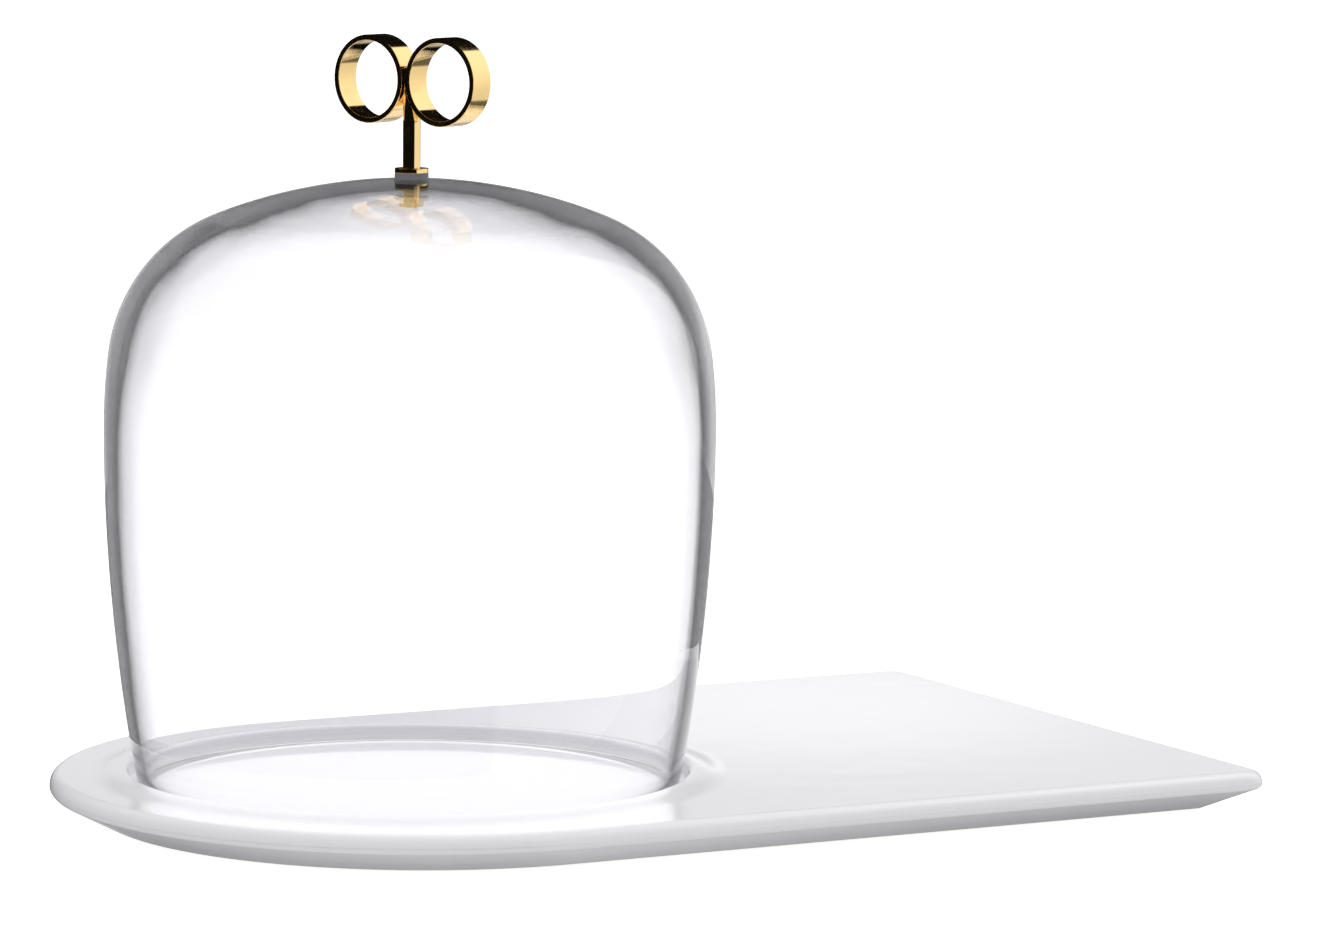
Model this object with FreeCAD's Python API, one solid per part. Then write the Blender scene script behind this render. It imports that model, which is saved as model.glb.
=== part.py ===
import FreeCAD, Part
import math
import os

# Cheese dome: a blown glass bell with a two-ring brass handle, standing in the
# raised seat of a glazed porcelain serving board.
#
# Frame: millimetres, +Z up, +X along the board from its round nose to its square
# end. The origin is on the plane that the board's pads rest on, in the middle of
# the object's box. Each piece is one solid in parts/NODE.step.

# ---- driving dimensions: serving board -------------------------------------
BOARD_LENGTH = 376.0
BOARD_WIDTH = 245.0
BOARD_THICKNESS = 13.8
EDGE_BAND = 5.6              # height of the upright side, above the undercut
UNDERCUT_INSET = 16.0        # how far the underside draws in to the base
TOP_EDGE_RADIUS = 4.0
UNDER_EDGE_RADIUS = 2.0
CORNER_RADIUS = 8.0          # square end, seen from above
BASE_CORNER_RADIUS = 3.0

# ---- driving dimensions: raised seat for the glass -------------------------
DOME_FROM_NOSE_CENTRE = 5.0  # the dome's axis is this far towards the nose
SEAT_DEPTH = 3.0             # floor of the seat, below the board's top
SEAT_FLOOR_RADIUS = 91.5
SEAT_FILLET = 1.5
LIP_RADIUS = 92.3            # inner edge of the raised lip
LIP_HEIGHT = 1.7             # above the board's top
LIP_CREST_RADIUS = 1.6
LIP_FOOT_RADIUS = 106.0      # where the lip's outer slope meets the board

# ---- driving dimensions: silicone pads under the board ---------------------
PAD_RADIUS = 6.0
PAD_THICKNESS = 2.0
PAD_STANDOFF = 1.0           # the pads lift the porcelain this far
PAD_EDGE_RADIUS = 0.4
PAD_PLACES = {
    "pad_nose": (-150.0, 0.0),
    "pad_middle_front": (-30.0, -88.0),
    "pad_middle_back": (-30.0, 88.0),
    "pad_end_front": (150.0, -88.0),
    "pad_end_back": (150.0, 88.0),
}

# ---- driving dimensions: glass bell ----------------------------------------
GLASS_RADIUS = 100.0         # widest outer radius
GLASS_WIDEST_Z = 117.0       # above the glass's foot
GLASS_POLE_Z = 198.2         # outer pole above the glass's foot
OUTER_ARCS = {"lower": 640.0, "upper": 199.0, "shoulder": 55.0, "crown": 174.5}
INNER_ARCS = {"lower": 700.0, "upper": 194.0, "shoulder": 50.0, "crown": 169.0}
WALL_AT_WIDEST = 4.2
WALL_AT_POLE = 5.5
HANDLE_HOLE_RADIUS = 3.4
FOOT_BEAD_HEIGHT = 1.65      # of the rounded rim that the glass stands on
SEAT_GAP = 0.05              # glass foot above the glazed floor

# ---- driving dimensions: handle --------------------------------------------
HANDLE_YAW = 24.0            # the rings' common axis, turned from +X
RING_OUTER_RADIUS = 14.45
RING_WALL = 1.85
RING_WIDTH = 9.0
RING_SPACING = 30.3          # between the two ring centres
RING_EDGE_RADIUS = 0.3
RING_CENTRE_HEIGHT = 32.0    # above the glass's pole
STEM_RADIUS = 2.9
STEM_TOP_ABOVE_RINGS = 4.2   # stem's top above the ring centres
COLLAR_RADIUS = 5.55
COLLAR_THICKNESS = 1.5
COLLAR_EDGE_RADIUS = 0.25
OUTER_GASKET_HEIGHT = 2.0
INNER_GASKET_HEIGHT = 1.2
GASKET_RADIUS = 5.55
GASKET_EDGE_RADIUS = 0.3
STUD_RADIUS = 2.0            # M4
STUD_ENGAGEMENT = 8.0        # length screwed up into the stem
STUD_RUN_CLEARANCE = 0.05    # radial, in the sleeve and the gaskets
STUD_PROUD = 0.3             # below the nut
WASHER_RADIUS = 5.55
WASHER_THICKNESS = 0.8
WASHER_BORE_RADIUS = 2.15
NUT_ACROSS_FLATS = 7.0       # thin M4 hexagon nut
NUT_HEIGHT = 2.2
NUT_CHAMFER = 0.35

# ---- places worked out from the driving dimensions -------------------------
BASE_Z = PAD_STANDOFF
TOP_Z = BASE_Z + BOARD_THICKNESS
BAND_Z = TOP_Z - EDGE_BAND
NOSE_X = (BOARD_WIDTH - BOARD_LENGTH) / 2
DOME_X = NOSE_X - DOME_FROM_NOSE_CENTRE
SEAT_Z = TOP_Z - SEAT_DEPTH
LIP_Z = TOP_Z + LIP_HEIGHT
FOOT_Z = SEAT_Z + SEAT_GAP
POLE_Z = FOOT_Z + GLASS_POLE_Z
INNER_POLE_Z = POLE_Z - WALL_AT_POLE
GASKET_TOP_Z = POLE_Z + OUTER_GASKET_HEIGHT
INNER_GASKET_Z = INNER_POLE_Z - INNER_GASKET_HEIGHT
WASHER_Z = INNER_GASKET_Z - WASHER_THICKNESS
NUT_Z = WASHER_Z - NUT_HEIGHT
RUNNING_RADIUS = STUD_RADIUS + STUD_RUN_CLEARANCE
RING_Z = POLE_Z + RING_CENTRE_HEIGHT

UP = FreeCAD.Vector(0, 0, 1)
AXIS_POINT = FreeCAD.Vector(DOME_X, 0, 0)
OVERCUT = 1.0                # how far a cutting shape runs past what it cuts
SAME_PLACE = 1e-4            # closer than this is the same height


# ---- helpers ---------------------------------------------------------------
def rz(radius, height):
    """A point of a turned profile, at this radius from the dome's axis."""
    return FreeCAD.Vector(DOME_X + radius, 0, height)


def line(start, end):
    return Part.LineSegment(start, end).toShape()


def arc(start, middle, end):
    return Part.Arc(start, middle, end).toShape()


def arc_about(centre, radius, first, last):
    """An arc of a turned profile about centre (radius, height), angles in radians."""
    points = []
    for angle in (first, (first + last) / 2, last):
        points.append(rz(centre[0] + radius * math.cos(angle), centre[1] + radius * math.sin(angle)))
    return arc(*points)


def turned(edges):
    """The solid that a closed profile sweeps about the dome's axis."""
    face = Part.Face(Part.Wire(edges))
    return face.revolve(AXIS_POINT, UP, 360)


def disc(radius, low, high):
    """A cylinder on the dome's axis between two heights."""
    return Part.makeCylinder(radius, high - low, rz(0, low))


def tube(inner, outer, low, high):
    return disc(outer, low, high).cut(disc(inner, low, high))


def edges_at(shape, height):
    """Edges of a shape that lie level at this height."""
    return [edge for edge in shape.Edges
            if abs(edge.BoundBox.ZMin - height) < SAME_PLACE
            and abs(edge.BoundBox.ZMax - height) < SAME_PLACE]


# ---- serving board ---------------------------------------------------------
def board_outline(inset, height, corner):
    """The board's outline at one height: round nose, straight sides, square end."""
    half = BOARD_WIDTH / 2 - inset
    end = BOARD_LENGTH / 2 - inset
    slack = corner * (1 - math.sqrt(0.5))

    def at(x, y):
        return FreeCAD.Vector(x, y, height)

    return Part.Wire([
        arc(at(NOSE_X, half), at(NOSE_X - half, 0), at(NOSE_X, -half)),
        line(at(NOSE_X, -half), at(end - corner, -half)),
        arc(at(end - corner, -half), at(end - slack, -half + slack), at(end, -half + corner)),
        line(at(end, -half + corner), at(end, half - corner)),
        arc(at(end, half - corner), at(end - slack, half - slack), at(end - corner, half)),
        line(at(end - corner, half), at(NOSE_X, half)),
    ])


def board_blank():
    """The plate with its upright side, undercut and softened edges."""
    side = Part.Face(board_outline(0, BAND_Z, CORNER_RADIUS)).extrude(UP * EDGE_BAND)
    base = board_outline(UNDERCUT_INSET, BASE_Z, BASE_CORNER_RADIUS)
    under = Part.makeLoft([base, board_outline(0, BAND_Z, CORNER_RADIUS)], True, True)
    blank = side.fuse(under).removeSplitter()
    blank = blank.makeFillet(TOP_EDGE_RADIUS, edges_at(blank, TOP_Z))
    return blank.makeFillet(UNDER_EDGE_RADIUS, edges_at(blank, BAND_Z) + edges_at(blank, BASE_Z))


def seat_lip():
    """The raised lip: a small crest, then a slope that runs out into the board."""
    crest_r = LIP_RADIUS + LIP_CREST_RADIUS
    crest_z = LIP_Z - LIP_CREST_RADIUS
    run = LIP_FOOT_RADIUS - crest_r
    slope_radius = (run ** 2 + LIP_HEIGHT ** 2) / (4 * LIP_HEIGHT)
    lean = math.asin(run / 2 / slope_radius)
    quarter = math.pi / 2
    buried = TOP_Z - OVERCUT
    inside = SEAT_FLOOR_RADIUS - OVERCUT
    return turned([
        line(rz(inside, buried), rz(inside, crest_z)),
        line(rz(inside, crest_z), rz(LIP_RADIUS, crest_z)),
        arc_about((crest_r, crest_z), LIP_CREST_RADIUS, math.pi, quarter),
        arc_about((crest_r, LIP_Z - slope_radius), slope_radius, quarter, quarter - lean),
        arc_about((LIP_FOOT_RADIUS, TOP_Z + slope_radius), slope_radius, -quarter - lean, -quarter),
        line(rz(LIP_FOOT_RADIUS, TOP_Z), rz(LIP_FOOT_RADIUS, buried)),
        line(rz(LIP_FOOT_RADIUS, buried), rz(inside, buried)),
    ])


def seat_pocket():
    """The round pocket that the glass stands in, with a filleted floor."""
    crest_z = LIP_Z - LIP_CREST_RADIUS
    clear_z = LIP_Z + OVERCUT
    centre = (SEAT_FLOOR_RADIUS - SEAT_FILLET, SEAT_Z + SEAT_FILLET)
    return turned([
        line(rz(0, SEAT_Z), rz(centre[0], SEAT_Z)),
        arc_about(centre, SEAT_FILLET, -math.pi / 2, 0),
        line(rz(SEAT_FLOOR_RADIUS, centre[1]), rz(LIP_RADIUS, crest_z)),
        line(rz(LIP_RADIUS, crest_z), rz(LIP_RADIUS, clear_z)),
        line(rz(LIP_RADIUS, clear_z), rz(0, clear_z)),
        line(rz(0, clear_z), rz(0, SEAT_Z)),
    ])


def serving_board():
    board = board_blank().fuse(seat_lip()).cut(seat_pocket())
    for x, y in PAD_PLACES.values():
        place = FreeCAD.Vector(x, y, BASE_Z)
        board = board.cut(Part.makeCylinder(PAD_RADIUS, PAD_THICKNESS - PAD_STANDOFF, place))
    return board.removeSplitter()


def board_pad(x, y):
    """A silicone pad, glued into its recess and standing proud of the base."""
    pad = Part.makeCylinder(PAD_RADIUS, PAD_THICKNESS, FreeCAD.Vector(x, y, 0))
    return pad.makeFillet(PAD_EDGE_RADIUS, edges_at(pad, 0))


# ---- glass bell ------------------------------------------------------------
def bell_side(widest, pole, arcs, foot_height):
    """One side of the glass: four arcs that run into each other, foot to hole."""
    widest_z = FOOT_Z + GLASS_WIDEST_Z
    lower_centre = (widest - arcs["lower"], widest_z)
    upper_centre = (widest - arcs["upper"], widest_z)
    crown_centre = (0.0, pole - arcs["crown"])

    # The shoulder's centre is where it touches both of its neighbours inside.
    to_upper = arcs["upper"] - arcs["shoulder"]
    to_crown = arcs["crown"] - arcs["shoulder"]
    across = (crown_centre[0] - upper_centre[0], crown_centre[1] - upper_centre[1])
    apart = math.hypot(*across)
    along = (to_upper ** 2 - to_crown ** 2 + apart ** 2) / (2 * apart)
    aside = math.sqrt(to_upper ** 2 - along ** 2)
    unit = (across[0] / apart, across[1] / apart)
    shoulder_centre = (upper_centre[0] + along * unit[0] - aside * unit[1],
                       upper_centre[1] + along * unit[1] + aside * unit[0])

    def heading(centre):
        return math.atan2(shoulder_centre[1] - centre[1], shoulder_centre[0] - centre[0])

    foot = -math.asin((widest_z - foot_height) / arcs["lower"])
    hole = math.acos(HANDLE_HOLE_RADIUS / arcs["crown"])
    return [
        arc_about(lower_centre, arcs["lower"], foot, 0),
        arc_about(upper_centre, arcs["upper"], 0, heading(upper_centre)),
        arc_about(shoulder_centre, arcs["shoulder"], heading(upper_centre), heading(crown_centre)),
        arc_about(crown_centre, arcs["crown"], heading(crown_centre), hole),
    ]


def glass_dome():
    """The bell: rounded foot, wall that thickens upwards, hole for the handle."""
    bead_z = FOOT_Z + FOOT_BEAD_HEIGHT
    outer = bell_side(GLASS_RADIUS, POLE_Z, OUTER_ARCS, bead_z)
    inner = bell_side(GLASS_RADIUS - WALL_AT_WIDEST, INNER_POLE_Z, INNER_ARCS, bead_z)
    outer_foot = outer[0].Vertexes[0].Point
    inner_foot = inner[0].Vertexes[0].Point
    under = (outer_foot + inner_foot) / 2
    under.z = FOOT_Z
    bead = arc(inner_foot, under, outer_foot)
    hole = line(outer[3].Vertexes[-1].Point, inner[3].Vertexes[-1].Point)
    return turned(outer + [hole] + inner[::-1] + [bead])


def crown_ball(pole, radius):
    """A ball whose top is one face of the glass's crown."""
    return Part.makeSphere(radius, rz(0, pole - radius))


# ---- clamp parts on the glass ----------------------------------------------
def outer_gasket():
    gasket = disc(GASKET_RADIUS, POLE_Z - OVERCUT, GASKET_TOP_Z)
    gasket = gasket.makeFillet(GASKET_EDGE_RADIUS, edges_at(gasket, GASKET_TOP_Z))
    gasket = gasket.cut(crown_ball(POLE_Z, OUTER_ARCS["crown"]))
    return gasket.cut(disc(RUNNING_RADIUS, POLE_Z - 2 * OVERCUT, GASKET_TOP_Z + OVERCUT))


def inner_gasket():
    gasket = disc(GASKET_RADIUS, INNER_GASKET_Z, INNER_POLE_Z + OVERCUT)
    gasket = gasket.makeFillet(GASKET_EDGE_RADIUS, edges_at(gasket, INNER_GASKET_Z))
    gasket = gasket.common(crown_ball(INNER_POLE_Z, INNER_ARCS["crown"]))
    return gasket.cut(disc(RUNNING_RADIUS, INNER_GASKET_Z - OVERCUT, POLE_Z))


def hole_sleeve():
    """Lines the drilled hole, so that the stud never touches the glass."""
    sleeve = tube(RUNNING_RADIUS, HANDLE_HOLE_RADIUS, INNER_POLE_Z - OVERCUT, POLE_Z + OVERCUT)
    sleeve = sleeve.common(crown_ball(POLE_Z, OUTER_ARCS["crown"]))
    return sleeve.cut(crown_ball(INNER_POLE_Z, INNER_ARCS["crown"]))


# ---- handle ----------------------------------------------------------------
def yawed(shape):
    """Turns a handle piece from +X to the way the rings face."""
    shape = shape.copy()
    shape.rotate(AXIS_POINT, UP, HANDLE_YAW)
    return shape


def ring_cylinder(side, radius, length):
    """A level cylinder on a ring's axis, before the handle's yaw."""
    start = FreeCAD.Vector(DOME_X - length / 2, side * RING_SPACING / 2, RING_Z)
    return Part.makeCylinder(radius, length, start, FreeCAD.Vector(1, 0, 0))


def finger_ring(side):
    """A hoop for one finger, with its four edges broken."""
    hoop = ring_cylinder(side, RING_OUTER_RADIUS, RING_WIDTH)
    hoop = hoop.cut(ring_cylinder(side, RING_OUTER_RADIUS - RING_WALL, RING_WIDTH + 2 * OVERCUT))
    rims = [edge for edge in hoop.Edges if edge.BoundBox.XLength < SAME_PLACE]
    return yawed(hoop.makeFillet(RING_EDGE_RADIUS, rims))


def handle_stem():
    """The round bar between the rings, hollowed to seat them, tapped below."""
    top = RING_Z + STEM_TOP_ABOVE_RINGS
    stem = disc(STEM_RADIUS, GASKET_TOP_Z, top)
    stem = stem.makeFillet(RING_EDGE_RADIUS, edges_at(stem, top))
    stem = stem.cut(disc(STUD_RADIUS, GASKET_TOP_Z, GASKET_TOP_Z + STUD_ENGAGEMENT))
    for side in (-1, 1):
        stem = stem.cut(ring_cylinder(side, RING_OUTER_RADIUS, RING_WIDTH + 2 * OVERCUT))
    return yawed(stem)


def stem_collar():
    """The flange pressed on the stem's foot, which bears on the outer gasket."""
    top = GASKET_TOP_Z + COLLAR_THICKNESS
    collar = disc(COLLAR_RADIUS, GASKET_TOP_Z, top)
    collar = collar.makeFillet(COLLAR_EDGE_RADIUS, edges_at(collar, top))
    return collar.cut(disc(STEM_RADIUS, GASKET_TOP_Z - OVERCUT, top + OVERCUT))


def threaded_stud():
    return disc(STUD_RADIUS, NUT_Z - STUD_PROUD, GASKET_TOP_Z + STUD_ENGAGEMENT)


def clamp_washer():
    return tube(WASHER_BORE_RADIUS, WASHER_RADIUS, WASHER_Z, INNER_GASKET_Z)


def clamp_nut():
    """A thin hexagon nut, its corners turned off above and below."""
    corner = NUT_ACROSS_FLATS / math.sqrt(3)
    points = [rz(0, NUT_Z) + FreeCAD.Vector(corner * math.cos(math.radians(60 * k)),
                                            corner * math.sin(math.radians(60 * k)), 0)
              for k in range(7)]
    prism = Part.Face(Part.makePolygon(points)).extrude(UP * NUT_HEIGHT)
    blank = disc(corner, NUT_Z, WASHER_Z)
    blank = blank.makeChamfer(NUT_CHAMFER, edges_at(blank, NUT_Z) + edges_at(blank, WASHER_Z))
    return yawed(prism.common(blank).cut(disc(STUD_RADIUS, NUT_Z, WASHER_Z)))


# ---- write every piece -----------------------------------------------------
def all_pieces():
    pieces = {
        "serving_board": serving_board(),
        "glass_dome": glass_dome(),
        "outer_gasket": outer_gasket(),
        "hole_sleeve": hole_sleeve(),
        "inner_gasket": inner_gasket(),
        "handle_stem": handle_stem(),
        "stem_collar": stem_collar(),
        "finger_ring_front": finger_ring(-1),
        "finger_ring_back": finger_ring(1),
        "threaded_stud": threaded_stud(),
        "clamp_washer": clamp_washer(),
        "clamp_nut": clamp_nut(),
    }
    for name, (x, y) in PAD_PLACES.items():
        pieces[name] = board_pad(x, y)
    return pieces


def main():
    os.makedirs("parts", exist_ok=True)
    for name, shape in all_pieces().items():
        solids = shape.Solids
        if len(solids) != 1 or not shape.isValid():
            raise RuntimeError(f"{name}: {len(solids)} solids, valid {shape.isValid()}")
        solids[0].exportStep(f"parts/{name}.step")
        box = solids[0].BoundBox
        print(f"{name:18s} {solids[0].Volume / 1000:9.3f} cm3  "
              f"x {box.XMin:8.2f}..{box.XMax:8.2f}  y {box.YMin:8.2f}..{box.YMax:8.2f}  "
              f"z {box.ZMin:8.2f}..{box.ZMax:8.2f}")


main()
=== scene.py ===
import logging
import math
from dataclasses import dataclass
from enum import Enum
from typing import Any, Iterable, Mapping, Sequence

import bmesh
import bpy
import numpy as np
from mathutils import Euler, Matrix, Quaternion, Vector
from mathutils.geometry import delaunay_2d_cdt


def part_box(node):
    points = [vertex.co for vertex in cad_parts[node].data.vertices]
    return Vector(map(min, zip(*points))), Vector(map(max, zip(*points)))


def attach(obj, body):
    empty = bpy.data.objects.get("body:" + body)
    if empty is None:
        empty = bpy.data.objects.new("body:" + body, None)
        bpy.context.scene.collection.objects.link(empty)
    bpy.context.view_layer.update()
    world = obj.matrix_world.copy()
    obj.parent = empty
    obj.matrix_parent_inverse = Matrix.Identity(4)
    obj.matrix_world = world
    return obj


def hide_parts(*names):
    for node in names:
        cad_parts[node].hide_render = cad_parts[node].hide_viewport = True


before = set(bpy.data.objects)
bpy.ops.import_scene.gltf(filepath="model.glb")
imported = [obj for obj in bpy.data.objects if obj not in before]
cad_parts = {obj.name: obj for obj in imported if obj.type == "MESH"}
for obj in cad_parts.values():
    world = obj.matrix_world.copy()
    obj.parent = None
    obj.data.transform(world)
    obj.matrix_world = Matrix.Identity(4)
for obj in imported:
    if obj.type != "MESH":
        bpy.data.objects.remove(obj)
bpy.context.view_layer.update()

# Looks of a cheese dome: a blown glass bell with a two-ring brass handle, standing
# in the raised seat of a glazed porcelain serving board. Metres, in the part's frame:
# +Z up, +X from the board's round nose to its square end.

MM = 0.001
FULL_TURN = 2 * math.pi
QUARTER_TURN = math.pi / 2
ALONG = "along"              # attribute of turned pieces: the share of the profile passed

log = logging.getLogger("cheese_dome")

Point = tuple[float, float]
Colour = tuple[float, float, float]


class Body(Enum):
    """The bodies that move on their own."""

    BASE = "base"
    BELL = "bell"
    HANDLE = "handle"


class Slot(Enum):
    """The record's material slots."""

    PORCELAIN = "porcelain"
    SILICONE = "silicone"
    GLASS = "clear_glass"
    GASKET = "gasket"
    POLISHED_BRASS = "polished_brass"
    TURNED_BRASS = "turned_brass"


# ---- node trees ------------------------------------------------------------
def plug(tree: bpy.types.NodeTree, socket: bpy.types.NodeSocket, value: Any) -> None:
    """Links a wire to a socket, or sets the socket's own value.

    Args:
        tree: the tree that holds the socket.
        socket: the input to feed.
        value: a Wire, a number, a colour, a vector or a data block.
    """
    if isinstance(value, Wire):
        tree.links.new(value.socket, socket)
    elif socket.type == "RGBA" and len(value) == 3:
        socket.default_value = (*value, 1.0)
    else:
        socket.default_value = value


class Wire:
    """A value in a node tree, whose operators add the Math nodes that work it out."""

    def __init__(self, tree: bpy.types.NodeTree, socket: bpy.types.NodeSocket) -> None:
        """Wraps one output socket of a tree."""
        self.tree = tree
        self.socket = socket

    def combine(self, operation: str, *values: "Wire | float") -> "Wire":
        """Adds one Math node to the tree.

        Args:
            operation: the Math node's operation.
            values: its inputs, in order.

        Returns:
            The node's result.
        """
        node = self.tree.nodes.new("ShaderNodeMath")
        node.operation = operation
        for socket, value in zip(node.inputs, values):
            plug(self.tree, socket, value)
        return Wire(self.tree, node.outputs[0])

    def math(self, operation: str, *others: "Wire | float") -> "Wire":
        """Adds one Math node whose first input is this value."""
        return self.combine(operation, self, *others)

    def __add__(self, other: "Wire | float") -> "Wire":
        """self + other"""
        return self.math("ADD", other)

    def __radd__(self, other: float) -> "Wire":
        """other + self"""
        return self.combine("ADD", other, self)

    def __sub__(self, other: "Wire | float") -> "Wire":
        """self - other"""
        return self.math("SUBTRACT", other)

    def __rsub__(self, other: float) -> "Wire":
        """other - self"""
        return self.combine("SUBTRACT", other, self)

    def __mul__(self, other: "Wire | float") -> "Wire":
        """self * other"""
        return self.math("MULTIPLY", other)

    def __rmul__(self, other: float) -> "Wire":
        """other * self"""
        return self.combine("MULTIPLY", other, self)

    def __truediv__(self, other: "Wire | float") -> "Wire":
        """self / other"""
        return self.math("DIVIDE", other)

    def __rtruediv__(self, other: float) -> "Wire":
        """other / self"""
        return self.combine("DIVIDE", other, self)

    def __pow__(self, other: "Wire | float") -> "Wire":
        """self ** other"""
        return self.math("POWER", other)

    def __abs__(self) -> "Wire":
        """abs(self)"""
        return self.math("ABSOLUTE")

    def larger(self, other: "Wire | float") -> "Wire":
        """The larger of the two values."""
        return self.math("MAXIMUM", other)


class NodeBook:
    """Adds nodes to one tree; every node but a Math node comes from node()."""

    def __init__(self, tree: bpy.types.NodeTree) -> None:
        """Starts on a tree."""
        self.tree = tree

    def node(self, kind: str, settings: Mapping[str, Any] | None = None,
             sockets: Mapping[str | int, Any] | None = None) -> bpy.types.Node:
        """Adds a node: its settings first, then what feeds its sockets.

        Args:
            kind: the node's type.
            settings: its properties; "stops" are a ramp's (position, colour) pairs.
            sockets: values or wires, by the input's name or index.

        Returns:
            The new node.
        """
        node = self.tree.nodes.new(kind)
        for name, value in (settings or {}).items():
            if name == "stops":
                self.set_stops(node.color_ramp, value)
            else:
                setattr(node, name, value)
        for name, value in (sockets or {}).items():
            plug(self.tree, node.inputs[name], value)
        return node

    def wire(self, kind: str, settings: Mapping[str, Any] | None = None,
             sockets: Mapping[str | int, Any] | None = None, output: str | int = 0) -> Wire:
        """Adds a node and returns one of its outputs as a wire."""
        return Wire(self.tree, self.node(kind, settings, sockets).outputs[output])

    @staticmethod
    def set_stops(ramp: bpy.types.ColorRamp, stops: Sequence[tuple[float, Any]]) -> None:
        """Gives a ramp its stops, as (position, grey or colour) pairs."""
        while len(ramp.elements) < len(stops):
            ramp.elements.new(1.0)
        for element, (position, value) in zip(ramp.elements, stops):
            shade = (value,) * 3 if isinstance(value, (int, float)) else value
            element.position = position
            element.color = (*shade, 1.0)

    def step(self, value: Wire | float, low: float, high: float,
             start: float = 0.0, end: float = 1.0) -> Wire:
        """A smooth step from start to end as the value goes from low to high."""
        return self.wire("ShaderNodeMapRange", {"interpolation_type": "SMOOTHSTEP"},
                         {"Value": value, "From Min": low, "From Max": high,
                          "To Min": start, "To Max": end})

    def mix_colour(self, factor: Wire | float, first: Any, second: Any,
                   blend: str = "MIX") -> Wire:
        """Mixes two colours.

        Args:
            factor: how much of the second colour shows.
            first: the colour at factor 0.
            second: the colour at factor 1.
            blend: the Mix node's blend type.

        Returns:
            The mixed colour.
        """
        return self.wire("ShaderNodeMix", {"data_type": "RGBA", "blend_type": blend},
                         {0: factor, 6: first, 7: second}, 2)


# ---- materials -------------------------------------------------------------
class Recipe(NodeBook):
    """One material: a Principled shader and the patterns that feed it."""

    def __init__(self, name: str) -> None:
        """Starts an empty material of that name."""
        self.material = bpy.data.materials.new(name)
        self.material.use_nodes = True
        self.material.node_tree.nodes.clear()
        super().__init__(self.material.node_tree)
        self.place = self.wire("ShaderNodeTexCoord", output="Object")

    def centred(self, centre: Sequence[float], turn: float = 0.0,
                stretch: Sequence[float] = (1.0, 1.0, 1.0)) -> Wire:
        """Object coordinates moved to a centre, turned about Z, then stretched.

        Args:
            centre: the point that becomes the origin.
            turn: angle about Z, in radians.
            stretch: factors along the turned axes.

        Returns:
            The new coordinates.
        """
        moved = self.wire("ShaderNodeMapping", {"vector_type": "TEXTURE"},
                          {"Vector": self.place, "Location": centre, "Rotation": (0, 0, turn)})
        return self.wire("ShaderNodeMapping", {}, {"Vector": moved, "Scale": stretch})

    def noise(self, size: float, detail: float = 2.0, vector: Wire | None = None,
              roughness: float = 0.5) -> Wire:
        """Smooth noise, 0 to 1, with features of this size in metres."""
        return self.wire("ShaderNodeTexNoise", {}, {
            "Vector": vector or self.place, "Scale": 1 / size, "Detail": detail,
            "Roughness": roughness})

    def specks(self, spacing: float, size: float) -> Wire:
        """A mask of small dots.

        Args:
            spacing: the mean distance between dots, in metres.
            size: a dot's radius, in metres.

        Returns:
            1 inside a dot, 0 outside.
        """
        distance = self.wire("ShaderNodeTexVoronoi", {}, {
            "Vector": self.place, "Scale": 1 / spacing, "Randomness": 1.0}, "Distance")
        return self.step(distance, size / spacing, 0.5 * size / spacing)

    def radius_from(self, centre: Sequence[float]) -> Wire:
        """The distance of the surface from a vertical axis, in metres."""
        apart = self.node("ShaderNodeSeparateXYZ", {}, {0: self.centred(centre)})
        x, y = Wire(self.tree, apart.outputs[0]), Wire(self.tree, apart.outputs[1])
        return (x * x + y * y) ** 0.5

    def bump(self, height: Wire, metres: float, below: Wire | None = None) -> Wire:
        """A Bump node whose full height is so many metres."""
        sockets = {"Height": height, "Distance": metres, "Strength": 1.0}
        if below is not None:
            sockets["Normal"] = below
        return self.wire("ShaderNodeBump", {}, sockets)

    def principled(self, **sockets: Any) -> bpy.types.Node:
        """Adds a Principled shader; keywords are its sockets, with _ for a space."""
        named = {name.replace("_", " "): value for name, value in sockets.items()}
        return self.node("ShaderNodeBsdfPrincipled", {}, named)

    def finish(self, shader: bpy.types.Node) -> bpy.types.Material:
        """Ends the material with a shader and returns it."""
        self.node("ShaderNodeOutputMaterial", {}, {"Surface": Wire(self.tree, shader.outputs[0])})
        return self.material


@dataclass(frozen=True)
class Porcelain:
    """White porcelain under a clear glaze, bare on the ring it was fired on."""

    bare_below: float
    glaze: Colour = (0.735, 0.732, 0.752)
    cloudy: Colour = (0.70, 0.703, 0.74)
    bare: Colour = (0.80, 0.775, 0.74)
    worn: Colour = (0.68, 0.65, 0.61)
    speck: Colour = (0.42, 0.36, 0.30)

    def material(self) -> bpy.types.Material:
        """Builds the material."""
        book = Recipe("glazed_porcelain")
        height = self_height(book)
        bare = book.step(height, self.bare_below + 0.5 * MM, self.bare_below + 0.2 * MM)
        cloud = book.noise(60 * MM, 3.0)
        pool = book.noise(9 * MM, 2.0)
        tint = book.mix_colour(0.25 * cloud, self.glaze, self.cloudy)
        specked = book.mix_colour(0.55 * book.specks(17 * MM, 0.16 * MM), tint, self.speck)
        grain = book.noise(0.5 * MM, 4.0)
        clay = book.mix_colour(0.35 * grain, self.bare, self.worn)
        colour = book.mix_colour(bare, specked, clay)
        roughness = 0.055 + 0.03 * pool + 0.6 * bare
        wave = book.bump(book.noise(22 * MM, 1.5), 0.10 * MM)
        peel = book.bump(book.noise(2.2 * MM, 2.0), 0.0022 * MM, wave)
        rough_clay = book.bump(grain * bare, 0.08 * MM, peel)
        return book.finish(book.principled(
            Base_Color=colour, Roughness=roughness, IOR=1.5, Normal=rough_clay,
            Subsurface_Weight=0.06, Subsurface_Radius=(0.9, 0.9, 1.0), Subsurface_Scale=1.2 * MM))


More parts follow.
